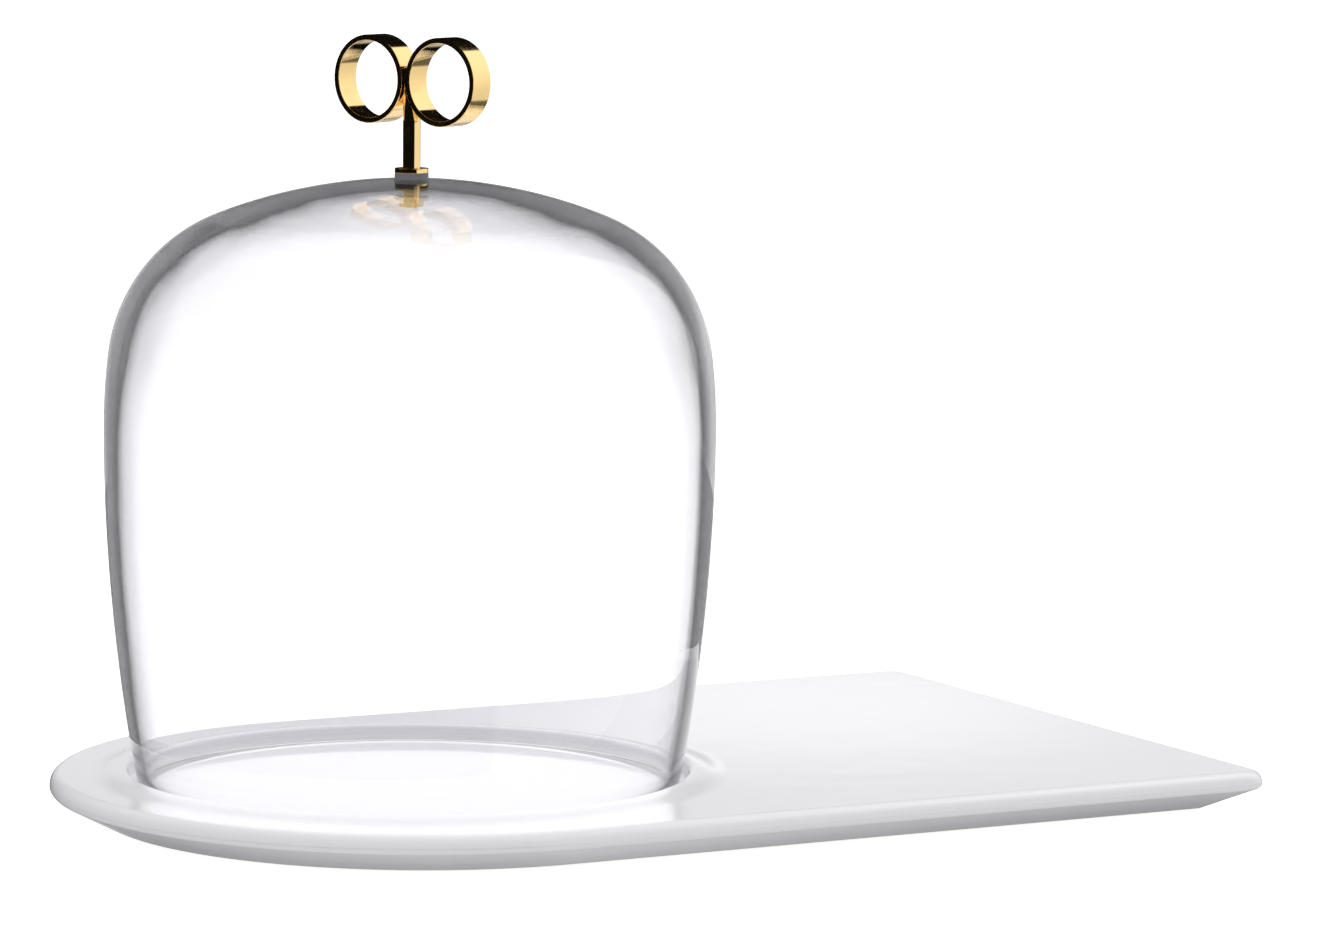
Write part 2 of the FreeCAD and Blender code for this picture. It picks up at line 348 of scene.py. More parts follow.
def self_height(book: Recipe) -> Wire:
    """The height of the surface in the part's frame, in metres."""
    apart = book.node("ShaderNodeSeparateXYZ", {}, {0: book.place})
    return Wire(book.tree, apart.outputs[2])


@dataclass(frozen=True)
class ClearGlass:
    """Clear blown glass, fire polished, with painted shade on its outer face where it turns away
    from the eye.
    """

    outside: float
    clear: Colour = (0.985, 0.987, 0.99)
    # tint of the painted shade on the outer face
    painted_shade_tint: Colour = (0.994, 0.988, 1.008)
    open_way: Colour = (0.985, 0.987, 0.99)
    # painted shade: (facing, brightness) stops that darken the outer face towards its edge
    painted_edge_shades: tuple[Point, ...] = (
        (0.20, 0.95), (0.42, 0.92), (0.50, 0.87), (0.55, 0.81), (0.59, 0.72), (0.64, 0.62),
        (0.675, 0.46), (0.715, 0.17), (0.76, 0.25), (0.82, 0.38), (0.89, 0.58), (1.0, 0.85))
    # painted shade: factors from the foot to the crown that widen or narrow the painted dark edge
    painted_edge_spread_by_height: tuple[Point, ...] = (
        (0.0, 1.16), (0.12, 1.08), (0.25, 1.0), (0.45, 0.90), (0.58, 0.80), (0.70, 0.83),
        (0.80, 1.0), (0.88, 1.24), (1.0, 1.42))

    def material(self) -> bpy.types.Material:
        """Builds the material; lamps and soft light pass it without bending.

        Painted shade: the wall darkens as it turns away from the eye, outside only, by the listed
        shade stops. The listed factors, from the foot to the crown, widen or narrow that painted
        dark edge.
        """
        book = Recipe("clear_glass")
        facing = book.wire("ShaderNodeLayerWeight", {}, {"Blend": 0.5}, "Facing")
        shades = [(at, tuple(min(1.0, (share * tint) ** 2) for tint in self.painted_shade_tint))
                  for at, share in self.painted_edge_shades]
        along = book.wire("ShaderNodeAttribute", {"attribute_name": ALONG}, {}, "Fac")
        edge_spread_stops = [(self.outside * at, thin / 2) for at, thin in self.painted_edge_spread_by_height]
        edge_spread_factor = 2.0 * book.wire("ShaderNodeValToRGB", {"stops": edge_spread_stops}, {"Fac": along})
        # noise that moves the painted dark edge a little
        blown = book.centred((0, 0, 0), 0.4, (1.0, 1.0, 0.22))
        painted_edge_wobble = book.noise(11 * MM, 3.0, blown) - 0.5
        # painted shade: the outer face is painted darker as it turns away from the eye; the inner
        # face stays clear
        painted_edge_colour = book.wire("ShaderNodeValToRGB", {"stops": shades},
                               {"Fac": 1.0 - (1.0 - facing) * edge_spread_factor + 0.06 * painted_edge_wobble})
        inside = along.math("GREATER_THAN", self.outside)
        shade = book.mix_colour(inside, painted_edge_colour, self.clear)
        cord = book.centred((0, 0, 0), 0.4, (1.0, 1.0, 0.35))
        swirl = book.bump(book.noise(30 * MM, 1.0, cord), 0.035 * MM)
        smudges = book.step(book.noise(38 * MM, 5.0), 0.60, 0.74)
        glass = book.principled(
            Base_Color=shade, Roughness=0.004 + 0.02 * smudges, IOR=1.5,
            Transmission_Weight=1.0, Normal=swirl)
        open_way = book.node("ShaderNodeBsdfTransparent", {}, {"Color": self.open_way})
        rays = book.node("ShaderNodeLightPath")
        soft = Wire(book.tree, rays.outputs["Is Shadow Ray"]).larger(
            Wire(book.tree, rays.outputs["Is Diffuse Ray"]))
        both = book.node("ShaderNodeMixShader", {}, {
            0: soft, 1: Wire(book.tree, glass.outputs[0]),
            2: Wire(book.tree, open_way.outputs[0])})
        return book.finish(both)


@dataclass(frozen=True)
class PolishedBrass:
    """Mirror-polished brass with faint polishing lines and a little tarnish."""

    turn: float
    metal: Colour = (0.92, 0.665, 0.30)
    tarnish: Colour = (0.70, 0.44, 0.15)

    def material(self) -> bpy.types.Material:
        """Builds the material."""
        book = Recipe("polished_brass")
        along = book.centred((0, 0, 0), self.turn, (1.0, 14.0, 14.0))
        lines = book.noise(3.0 * MM, 3.0, along)
        bloom = book.step(book.noise(7 * MM, 4.0), 0.52, 0.72)
        colour = book.mix_colour(0.28 * bloom, self.metal, self.tarnish)
        pits = book.specks(2.6 * MM, 0.05 * MM)
        relief = book.bump(lines, 0.0005 * MM, book.bump(book.noise(6 * MM, 1.0), 0.003 * MM))
        return book.finish(book.principled(
            Base_Color=colour, Metallic=1.0,
            Roughness=0.045 + 0.05 * lines + 0.10 * bloom + 0.2 * pits, Normal=relief))


@dataclass(frozen=True)
class TurnedBrass:
    """Brass as it left the lathe, with fine round tool marks."""

    centre: tuple[float, float, float]
    metal: Colour = (0.82, 0.62, 0.31)
    dull: Colour = (0.60, 0.43, 0.20)
    feed: float = 0.16 * MM

    def material(self) -> bpy.types.Material:
        """Builds the material."""
        book = Recipe("turned_brass")
        radius = book.radius_from(self.centre)
        passed = radius * (FULL_TURN / self.feed) + 2.0 * book.noise(2 * MM)
        marks = passed.math("SINE")
        stain = book.step(book.noise(3 * MM, 4.0), 0.45, 0.7)
        colour = book.mix_colour(0.5 * stain, self.metal, self.dull)
        return book.finish(book.principled(
            Base_Color=colour, Metallic=1.0, Roughness=0.22 + 0.12 * stain,
            Normal=book.bump(0.5 + 0.5 * marks, 0.004 * MM)))


@dataclass(frozen=True)
class GasketSilicone:
    """Grey silicone washer stock, matt, with a little dust on it."""

    rubber: Colour = (0.135, 0.135, 0.140)
    bloom: Colour = (0.2, 0.2, 0.205)
    dust: Colour = (0.55, 0.55, 0.54)

    def material(self) -> bpy.types.Material:
        """Builds the material."""
        book = Recipe("grey_gasket")
        grain = book.noise(0.35 * MM, 3.0)
        motes = book.specks(1.3 * MM, 0.055 * MM)
        cloud = book.noise(4 * MM, 3.0)
        colour = book.mix_colour(0.25 * cloud, self.rubber, self.bloom)
        return book.finish(book.principled(
            Base_Color=book.mix_colour(0.6 * motes, colour, self.dust),
            Roughness=0.40 + 0.18 * grain, IOR=1.43, Normal=book.bump(grain, 0.012 * MM)))


@dataclass(frozen=True)
class PadSilicone:
    """Milky silicone of the feet, scuffed where it meets the table."""

    milk: Colour = (0.66, 0.67, 0.66)
    scuffed: Colour = (0.44, 0.43, 0.41)

    def material(self) -> bpy.types.Material:
        """Builds the material."""
        book = Recipe("milky_silicone")
        worn = book.step(self_height(book), 0.35 * MM, 0.05 * MM) * book.noise(1.4 * MM, 4.0)
        grain = book.noise(0.4 * MM, 3.0)
        return book.finish(book.principled(
            Base_Color=book.mix_colour(worn, self.milk, self.scuffed),
            Roughness=0.45 + 0.3 * worn, IOR=1.43, Normal=book.bump(grain, 0.01 * MM),
            Subsurface_Weight=0.3, Subsurface_Radius=(1.0, 1.0, 1.0), Subsurface_Scale=1.0 * MM))


# ---- profiles --------------------------------------------------------------
def arc(centre: Point, radius: float, first: float, last: float, steps: int) -> list[Point]:
    """Points along an arc.

    Args:
        centre: the arc's centre.
        radius: its radius.
        first: the angle it starts at, in radians.
        last: the angle it ends at.
        steps: how many spans to cut it into.

    Returns:
        Its points, both ends included.
    """
    angles = (first + (last - first) * step / steps for step in range(steps + 1))
    return [(centre[0] + radius * math.cos(a), centre[1] + radius * math.sin(a)) for a in angles]


def rounded(corners: Sequence[tuple[float, float, float]], steps: int = 6,
            closed: bool = True) -> list[Point]:
    """A polygon with its corners rounded and each flat held flat to its ends.

    Args:
        corners: (across, up, radius) for each corner, anticlockwise.
        steps: spans in each rounded corner.
        closed: whether the last corner runs back to the first.

    Returns:
        The outline's points; a closed one repeats its first point.
    """
    outline: list[Point] = []
    count = len(corners)
    for place, (x, y, radius) in enumerate(corners):
        here = Vector((x, y))
        is_end = not closed and place in (0, count - 1)
        if radius <= 0 or is_end:
            outline.append((x, y))
            continue
        back = (Vector(corners[place - 1][:2]) - here).normalized()
        ahead = (Vector(corners[(place + 1) % count][:2]) - here).normalized()
        half = back.angle(ahead) / 2
        reach = radius / math.tan(half)
        centre = here + (back + ahead).normalized() * (radius / math.sin(half))
        start, end = here + back * reach, here + ahead * reach
        hold = 0.08 * radius
        first = math.atan2(*(start - centre).yx)
        sweep = math.remainder(math.atan2(*(end - centre).yx) - first, FULL_TURN)
        outline.append(tuple(start + back * hold))
        outline += arc(tuple(centre), radius, first, first + sweep, steps)
        outline.append(tuple(end + ahead * hold))
    if closed:
        outline.append(outline[0])
    return outline


def cut_flats(outline: Sequence[Point], longest: float) -> list[Point]:
    """The same outline with its long spans cut so that none is over a length."""
    cut = [outline[0]]
    for start, end in zip(outline, outline[1:]):
        spans = max(1, math.ceil(math.dist(start, end) / longest))
        for step in range(1, spans + 1):
            share = step / spans
            cut.append((start[0] + (end[0] - start[0]) * share,
                        start[1] + (end[1] - start[1]) * share))
    return cut


# ---- geometry trees --------------------------------------------------------
class GrowingTree(NodeBook):
    """A Geometry Nodes tree with named inputs, run once for each piece it makes."""

    def __init__(self, name: str, inputs: Mapping[str, str]) -> None:
        """Starts a tree.

        Args:
            name: the tree's name.
            inputs: the socket type of each named input.
        """
        tree = bpy.data.node_groups.new(name, "GeometryNodeTree")
        tree.interface.new_socket("Geometry", in_out="OUTPUT", socket_type="NodeSocketGeometry")
        for label, kind in inputs.items():
            tree.interface.new_socket(label, in_out="INPUT", socket_type=kind)
        super().__init__(tree)
        self.given = self.node("NodeGroupInput")

    def input(self, name: str) -> Wire:
        """One of the tree's named inputs."""
        return Wire(self.tree, self.given.outputs[name])

    def parts_of(self, vector: Wire) -> tuple[Wire, Wire, Wire]:
        """The three numbers of a vector."""
        apart = self.node("ShaderNodeSeparateXYZ", {}, {0: vector})
        return tuple(Wire(self.tree, socket) for socket in apart.outputs)

    def grid(self, columns: Wire, rows: Wire) -> tuple[Wire, Wire, Wire]:
        """A flat sheet of quads to be bent into shape.

        Args:
            columns: how many points it has across.
            rows: how many points it has up.

        Returns:
            The sheet, and each point's place across and up it, from 0 to 1.
        """
        sheet = self.wire("GeometryNodeMeshGrid", {}, {
            "Size X": 1.0, "Size Y": 1.0, "Vertices X": columns, "Vertices Y": rows})
        across, up, _ = self.parts_of(self.wire("GeometryNodeInputPosition"))
        return sheet, across + 0.5, up + 0.5

    def around(self, radius: Wire, share: Wire, height: Wire) -> Wire:
        """A point at this radius and height, a share of a full turn round the axis."""
        angle = share * FULL_TURN
        return self.wire("ShaderNodeCombineXYZ", {}, {
            0: radius * angle.math("COSINE"), 1: radius * angle.math("SINE"), 2: height})

    def close(self, mesh: Wire, material: Wire) -> bpy.types.NodeTree:
        """Welds the seam and the poles, smooths the shading and ends the tree."""
        welded = self.wire("GeometryNodeMergeByDistance", {}, {
            "Geometry": mesh, "Distance": 1e-7})
        smooth = self.wire("GeometryNodeSetShadeSmooth", {}, {"Geometry": welded})
        real = self.wire("GeometryNodeRealizeInstances", {}, {"Geometry": smooth})
        dressed = self.wire("GeometryNodeSetMaterial", {}, {
            "Geometry": real, "Material": material})
        self.node("NodeGroupOutput", {}, {"Geometry": dressed})
        return self.tree


def turning_tree() -> bpy.types.NodeTree:
    """Sweeps a profile about an axis, as a lathe does, with a hand-made unevenness.

    Returns:
        A tree whose Profile is a mesh of points (radius, 0, height). Waviness is how
        far the widest radius strays; it falls to nothing at the axis.
    """
    book = GrowingTree("turned_piece", {
        "Profile": "NodeSocketObject", "Segments": "NodeSocketInt", "Place": "NodeSocketVector",
        "Turn": "NodeSocketVector", "Waviness": "NodeSocketFloat",
        "Wave Size": "NodeSocketFloat", "Widest": "NodeSocketFloat", "Seed": "NodeSocketFloat",
        "Material": "NodeSocketMaterial"})
    profile = book.wire("GeometryNodeObjectInfo", {}, {"Object": book.input("Profile")},
                        "Geometry")
    rows = book.wire("GeometryNodeAttributeDomainSize", {"component": "MESH"},
                     {"Geometry": profile}, "Point Count")
    sheet, share, up = book.grid(book.input("Segments") + 1.0, rows)
    sheet = book.wire("GeometryNodeStoreNamedAttribute",
                      {"data_type": "FLOAT", "domain": "POINT"},
                      {"Geometry": sheet, "Name": ALONG, "Value": up})
    row = (up * (rows - 1.0)).math("ROUND")
    place = book.wire("GeometryNodeInputPosition")
    point = book.wire("GeometryNodeSampleIndex", {"data_type": "FLOAT_VECTOR", "domain": "POINT"},
                      {"Geometry": profile, "Value": place, "Index": row})
    radius, _, height = book.parts_of(point)
    even = book.around(radius, share, height)
    noise = book.wire("ShaderNodeTexNoise", {"noise_dimensions": "4D"}, {
        "Vector": even, "W": book.input("Seed"), "Scale": 1.0 / book.input("Wave Size"),
        "Detail": 1.0})
    stray = (noise - 0.5) * 2.0 * book.input("Waviness") * (radius / book.input("Widest"))
    bent = book.wire("GeometryNodeSetPosition", {}, {
        "Geometry": sheet, "Position": book.around(radius + stray, share, height)})
    stood = book.wire("GeometryNodeTransform", {}, {
        "Geometry": bent, "Translation": book.input("Place"), "Rotation": book.input("Turn")})
    return book.close(stood, book.input("Material"))


def thread_tree() -> bpy.types.NodeTree:
    """A rod with a thread rolled along its whole length, closed at both ends.

    Returns:
        A tree with the rod's sizes as inputs. Rows is the number of rings of points.
    """
    book = GrowingTree("threaded_rod", {
        "Radius": "NodeSocketFloat", "Pitch": "NodeSocketFloat", "Depth": "NodeSocketFloat",
        "Length": "NodeSocketFloat", "Lead": "NodeSocketFloat", "Place": "NodeSocketVector",
        "Segments": "NodeSocketInt", "Rows": "NodeSocketInt", "Material": "NodeSocketMaterial"})
    rows = book.input("Rows")
    sheet, share, up = book.grid(book.input("Segments") + 1.0, rows)
    row = up * (rows - 1.0)
    inner = ((row - 1.0) / (rows - 3.0)).math("MINIMUM", 1.0).larger(0.0)
    height = inner * book.input("Length")
    phase = height / book.input("Pitch") - share
    groove = abs(phase.math("FRACT") - 0.5) * 2.0
    from_end = (book.input("Length") * 0.5 - abs(height - book.input("Length") * 0.5))
    lead = book.wire("ShaderNodeMapRange", {}, {
        "Value": from_end, "From Min": 0.0, "From Max": book.input("Lead"),
        "To Min": 1.0, "To Max": 0.0})
    closed = book.wire("ShaderNodeMapRange", {}, {
        "Value": abs(up - 0.5), "From Min": 0.5 - 1e-4, "From Max": 0.5 - 1e-5,
        "To Min": 1.0, "To Max": 0.0})
    depth = book.input("Depth") * groove.larger(lead)
    radius = (book.input("Radius") - depth) * closed
    bent = book.wire("GeometryNodeSetPosition", {}, {
        "Geometry": sheet, "Position": book.around(radius, share, height)})
    stood = book.wire("GeometryNodeTransform", {}, {
        "Geometry": bent, "Translation": book.input("Place")})
    return book.close(stood, book.input("Material"))


class Bench:
    """Runs the geometry trees and hands finished pieces to the frame."""

    def __init__(self) -> None:
        """Builds the trees once."""
        self.turning = turning_tree()
        self.threading = thread_tree()

    @staticmethod
    def link(name: str, mesh: bpy.types.Mesh) -> bpy.types.Object:
        """Puts a mesh into the scene as an object at the origin."""
        piece = bpy.data.objects.new(name, mesh)
        bpy.context.scene.collection.objects.link(piece)
        return piece

    def grow(self, name: str, tree: bpy.types.NodeTree,
             inputs: Mapping[str, Any]) -> bpy.types.Object:
        """Runs a tree and keeps its result as a plain mesh.

        Args:
            name: the piece's name.
            tree: the geometry tree.
            inputs: a value for each named input.

        Returns:
            The piece, with no modifier left on it.
        """
        piece = self.link(name, bpy.data.meshes.new(name))
        modifier = piece.modifiers.new("grow", "NODES")
        modifier.node_group = tree
        for socket in tree.interface.items_tree:
            if socket.in_out == "INPUT":
                modifier[socket.identifier] = inputs[socket.name]
        graph = bpy.context.evaluated_depsgraph_get()
        mesh = bpy.data.meshes.new_from_object(piece.evaluated_get(graph), depsgraph=graph)
        piece.modifiers.remove(modifier)
        piece.data = mesh
        return piece

    def turn(self, name: str, profile: Sequence[Point], material: bpy.types.Material,
             place: Sequence[float], segments: int = 96, turn: Sequence[float] = (0, 0, 0),
             waviness: float = 0.0, wave_size: float = 0.05,
             seed: float = 0.0) -> bpy.types.Object:
        """Turns a profile on the lathe.

        Args:
            name: the piece's name.
            profile: (radius, height) points, anticlockwise, radius to the right.
            material: what it is made of.
            place: where the profile's origin goes.
            segments: facets in a full turn.
            turn: how the axis is turned from +Z.
            waviness: how far the widest radius strays.
            wave_size: the size of that unevenness.
            seed: picks the unevenness.

        Returns:
            The turned piece.
        """
        outline = bpy.data.meshes.new(name + "_profile")
        outline.from_pydata([(r, 0.0, z) for r, z in profile], [], [])
        template = self.link(name + "_profile", outline)
        piece = self.grow(name, self.turning, {
            "Profile": template, "Segments": segments, "Place": tuple(place),
            "Turn": tuple(turn), "Waviness": waviness, "Wave Size": wave_size,
            "Widest": max(r for r, _ in profile), "Seed": seed, "Material": material})
        bpy.data.objects.remove(template)
        return piece

    @staticmethod
    def hand_over(piece: bpy.types.Object, body: Body, slot: Slot,
                  replaces: Sequence[str] = ()) -> None:
        """Gives a finished piece to its body and hides the CAD nodes that it stands for.

        Args:
            piece: the finished piece.
            body: the body it moves with.
            slot: the record's material slot; not used.
            replaces: the CAD nodes that it stands for.
        """
        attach(piece, body.value)
        if replaces:
            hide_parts(*replaces)
        log.info("%s: %d faces, moves with %s", piece.name, len(piece.data.polygons), body.value)

    @staticmethod
    def dress(node: str, material: bpy.types.Material) -> None:
        """Gives a CAD node whose shape is right its real finish."""
        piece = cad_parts[node]
        for place in range(len(piece.material_slots)):
            piece.material_slots[place].material = material
        log.info("%s: kept from the frame, %d faces", node, len(piece.data.polygons))


# ---- serving board ---------------------------------------------------------
@dataclass
class ServingBoard:
    """The porcelain board: round nose, square end, undercut side, raised seat."""

    bench: Bench
    edge_band: float = 5.6 * MM
    undercut: float = 16.0 * MM
    top_edge: float = 4.0 * MM
    under_edge: float = 2.0 * MM
    corner: float = 8.0 * MM
    base_corner: float = 3.0 * MM
    seat_depth: float = 3.0 * MM
    seat_floor: float = 91.5 * MM
    seat_fillet: float = 1.5 * MM
    lip_inside: float = 92.3 * MM
    lip_height: float = 1.7 * MM
    lip_crest: float = 1.6 * MM
    lip_foot: float = 106.0 * MM
    pad_radius: float = 6.0 * MM
    pad_recess: float = 1.0 * MM
    least_corner: float = 0.6 * MM
    longest_span: float = 3.0 * MM
    crease: float = math.radians(50)
    spokes: int = 288
    corner_spokes: int = 40
    recess_spokes: int = 48
    corner_spread: float = 1.6
    top_shares: tuple[float, ...] = (0.12, 0.3, 0.5, 0.7, 0.88, 0.97)
    seat_shares: tuple[float, ...] = (0.985, 0.93, 0.8, 0.62, 0.42, 0.22)

    def __post_init__(self) -> None:
        """Reads the board's places from the frame."""
        low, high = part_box("serving_board")
        glass_low, glass_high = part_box("glass_dome")
        self.axis_x = (glass_low.x + glass_high.x) / 2
        self.half_width = (high.y - low.y) / 2
        self.end_x = high.x
        self.nose_x = low.x + self.half_width
        self.base_z = low.z
        self.top_z = high.z - self.lip_height
        self.pads = {name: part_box(name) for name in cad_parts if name.startswith("pad_")}

    def angles(self) -> np.ndarray:
        """The directions of the spokes from the dome's axis, closer at the corners."""
        even = [FULL_TURN * k / self.spokes for k in range(self.spokes)]
        reach = self.end_x - self.axis_x
        spread = self.corner_spread * self.corner
        near = math.atan2(self.half_width - spread, reach)
        far = math.atan2(self.half_width, reach - spread)
        tight = [near + (far - near) * k / self.corner_spokes
                 for k in range(self.corner_spokes + 1)]
        kept = [a for a in even if not near <= a <= far and not near <= FULL_TURN - a <= far]
        return np.array(sorted(kept + tight + [FULL_TURN - a for a in tight]))

    def outline(self, angle: float, inset: float, corner: float) -> Point:
        """Where a spoke meets the board's outline.

        Args:
            angle: the spoke's direction from the dome's axis.
            inset: how far the outline is drawn in.
            corner: the radius of its two square corners.

        Returns:
            The point, in the part's frame.
        """
        dx, dy = math.cos(angle), math.sin(angle)
        half, end = self.half_width - inset, self.end_x - inset
        reach = min(half / abs(dy) if abs(dy) > 1e-9 else math.inf,
                    (end - self.axis_x) / dx if dx > 1e-9 else math.inf)
        x, y = self.axis_x + reach * dx, reach * dy
        if x < self.nose_x:
            reach = self.to_circle(angle, self.nose_x, 0.0, half)
        elif x > end - corner and abs(y) > half - corner:
            reach = self.to_circle(angle, end - corner, math.copysign(half - corner, y), corner)
        return self.axis_x + reach * dx, reach * dy

    def to_circle(self, angle: float, x: float, y: float, radius: float) -> float:
        """How far along a spoke the far side of a circle is."""
        dx, dy = math.cos(angle), math.sin(angle)
        back_x, back_y = self.axis_x - x, -y
        along = dx * back_x + dy * back_y
        return -along + math.sqrt(along ** 2 - back_x ** 2 - back_y ** 2 + radius ** 2)

    def side(self) -> list[tuple[float, float, float]]:
        """The side's profile, from the base up, as (inset, height, corner radius)."""
        band_z = self.top_z - self.edge_band
        shape = rounded([(-self.undercut - 4 * MM, self.base_z, 0),
                         (-self.undercut, self.base_z, self.under_edge),
                         (0.0, band_z, self.under_edge),
                         (0.0, self.top_z, self.top_edge),
                         (-self.top_edge - 2 * MM, self.top_z, 0)], 8, closed=False)
        shape = cut_flats(shape, self.longest_span)
        full = []
        for out, height in shape:
            if height < band_z:
                share = max(0.0, (height - self.base_z) / (band_z - self.base_z))
                corner = self.base_corner + (self.corner - self.base_corner) * share
            else:
                corner = self.corner + out
            full.append((-out, height, max(corner, self.least_corner)))
        return full

    def seat(self) -> list[Point]:
        """The lip and the seat as (radius, height), from the lip's foot inwards."""
        crest_r = self.lip_inside + self.lip_crest
        lip_z = self.top_z + self.lip_height
        crest_z = lip_z - self.lip_crest
        run = self.lip_foot - crest_r
        slope = (run ** 2 + self.lip_height ** 2) / (4 * self.lip_height)
        lean = math.asin(run / 2 / slope)
        floor_z = self.top_z - self.seat_depth
        fillet = (self.seat_floor - self.seat_fillet, floor_z + self.seat_fillet)
        points = arc((self.lip_foot, self.top_z + slope), slope,
                     -QUARTER_TURN, -QUARTER_TURN - lean, 10)
        points += arc((crest_r, lip_z - slope), slope, QUARTER_TURN - lean, QUARTER_TURN, 10)[1:]
        points += arc((crest_r, crest_z), self.lip_crest, QUARTER_TURN, math.pi, 12)[1:]
        points += arc(fillet, self.seat_fillet, 0.0, -QUARTER_TURN, 10)
        inner = points[-1][0]
        return points + [(inner * share, floor_z) for share in self.seat_shares]

    def loops(self) -> list[list[Vector]]:
        """Closed loops of points, from the base's edge to the middle of the seat."""
        angles = self.angles()
        loops = [[Vector((*self.outline(a, inset, corner), height)) for a in angles]
                 for inset, height, corner in self.side()]
        edge = loops[-1]
        foot = self.ring(angles, self.lip_foot, self.top_z)
        for share in self.top_shares:
            loops.append([start.lerp(end, share) for start, end in zip(edge, foot)])
        return loops + [self.ring(angles, *place) for place in self.seat()]

    def ring(self, angles: Iterable[float], radius: float, height: float) -> list[Vector]:
        """Points round the dome's axis at these angles, at one radius and height."""
        return [Vector((self.axis_x + radius * math.cos(a), radius * math.sin(a), height))
                for a in angles]

    def build(self) -> bpy.types.Object:
        """Makes the board's mesh: looped side and top, flat base with pad recesses."""
        shape = bmesh.new()
        loops = [[shape.verts.new(point) for point in loop] for loop in self.loops()]
        count = len(loops[0])
        for lower, upper in zip(loops, loops[1:]):
            for k in range(count):
                shape.faces.new((lower[k], lower[(k + 1) % count],
                                 upper[(k + 1) % count], upper[k]))
        middle = shape.verts.new((self.axis_x, 0.0, self.top_z - self.seat_depth))
        for k in range(count):
            shape.faces.new((loops[-1][k], loops[-1][(k + 1) % count], middle))
        self.add_base(shape, loops[0])
        mesh = bpy.data.meshes.new("porcelain_board")
        shape.to_mesh(mesh)
        shape.free()
        mesh.shade_smooth()
        return self.bench.link("porcelain_board", mesh)

    def add_base(self, shape: bmesh.types.BMesh, rim: Sequence[bmesh.types.BMVert]) -> None:
        """Closes the underside with a flat face, holed by the pads' recesses.

        Args:
            shape: the board so far.
            rim: the loop round the flat base.
        """
        rings = []
        for low, high in self.pads.values():
            centre = (low + high) / 2
            rings.append([shape.verts.new((centre.x + self.pad_radius * math.cos(a),
                                           centre.y + self.pad_radius * math.sin(a), self.base_z))
                          for a in np.linspace(0, FULL_TURN, self.recess_spokes,
                                               endpoint=False)])
        flat = [vert for loop in [list(rim), *rings] for vert in loop]
        start, numbered = 0, []
        for loop in [rim, *rings]:
            numbered.append(range(start, start + len(loop)))
            start += len(loop)
        edges = [(ids[k], ids[(k + 1) % len(ids)]) for ids in numbered for k in range(len(ids))]
        _, _, faces, *_ = delaunay_2d_cdt([Vector(v.co.xy) for v in flat], edges, [], 2, 1e-7)
        for face in faces:
            if not any(set(face) <= set(ids) for ids in numbered[1:]):
                shape.faces.new([flat[k] for k in reversed(face)])
        for ring in rings:
            roof = [shape.verts.new(v.co + Vector((0, 0, self.pad_recess))) for v in ring]
            for k in range(len(ring)):
                shape.faces.new((ring[(k + 1) % len(ring)], ring[k],
                                 roof[k], roof[(k + 1) % len(ring)]))
            shape.faces.new(roof[::-1])

    def make(self, finish: Porcelain) -> None:
        """Builds the board, glazes it and hands it over."""
        board = self.build()
        board.data.materials.append(finish.material())
        board.data.set_sharp_from_angle(angle=self.crease)
        self.bench.hand_over(board, Body.BASE, Slot.PORCELAIN, ["serving_board"])


@dataclass
class GripPads:
    """The silicone feet under the board, ribbed where they grip the table."""

    bench: Bench
    ribs: int = 3
    rib_depth: float = 0.22 * MM
    rib_pitch: float = 1.5 * MM
    edge: float = 0.4 * MM

    def profile(self, radius: float, height: float) -> list[Point]:
        """A pad's profile: round grooves below, a soft edge, a flat top."""
        under = [(0.0, 0.0, 0.0)]
        across = 0.9 * MM
        for _ in range(self.ribs):
            under += [(across, 0.0, 0.1 * MM), (across + 0.15 * MM, self.rib_depth, 0.08 * MM),
                      (across + 0.5 * MM, self.rib_depth, 0.08 * MM),
                      (across + 0.65 * MM, 0.0, 0.1 * MM)]
            across += self.rib_pitch
        rim = [(radius, 0.0, self.edge), (radius, height, 0.05 * MM), (0.0, height, 0.0)]
        return rounded(under + rim, 4, closed=False)

    def make(self, finish: PadSilicone) -> None:
        """Builds each pad where the frame has it."""
        material = finish.material()
        for name in sorted(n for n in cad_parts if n.startswith("pad_")):
            low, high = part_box(name)
            place = Vector(((low.x + high.x) / 2, (low.y + high.y) / 2, low.z))
            profile = self.profile((high.x - low.x) / 2, high.z - low.z)
            pad = self.bench.turn("grip_" + name, profile, material, place, 64)
            self.bench.hand_over(pad, Body.BASE, Slot.SILICONE, [name])


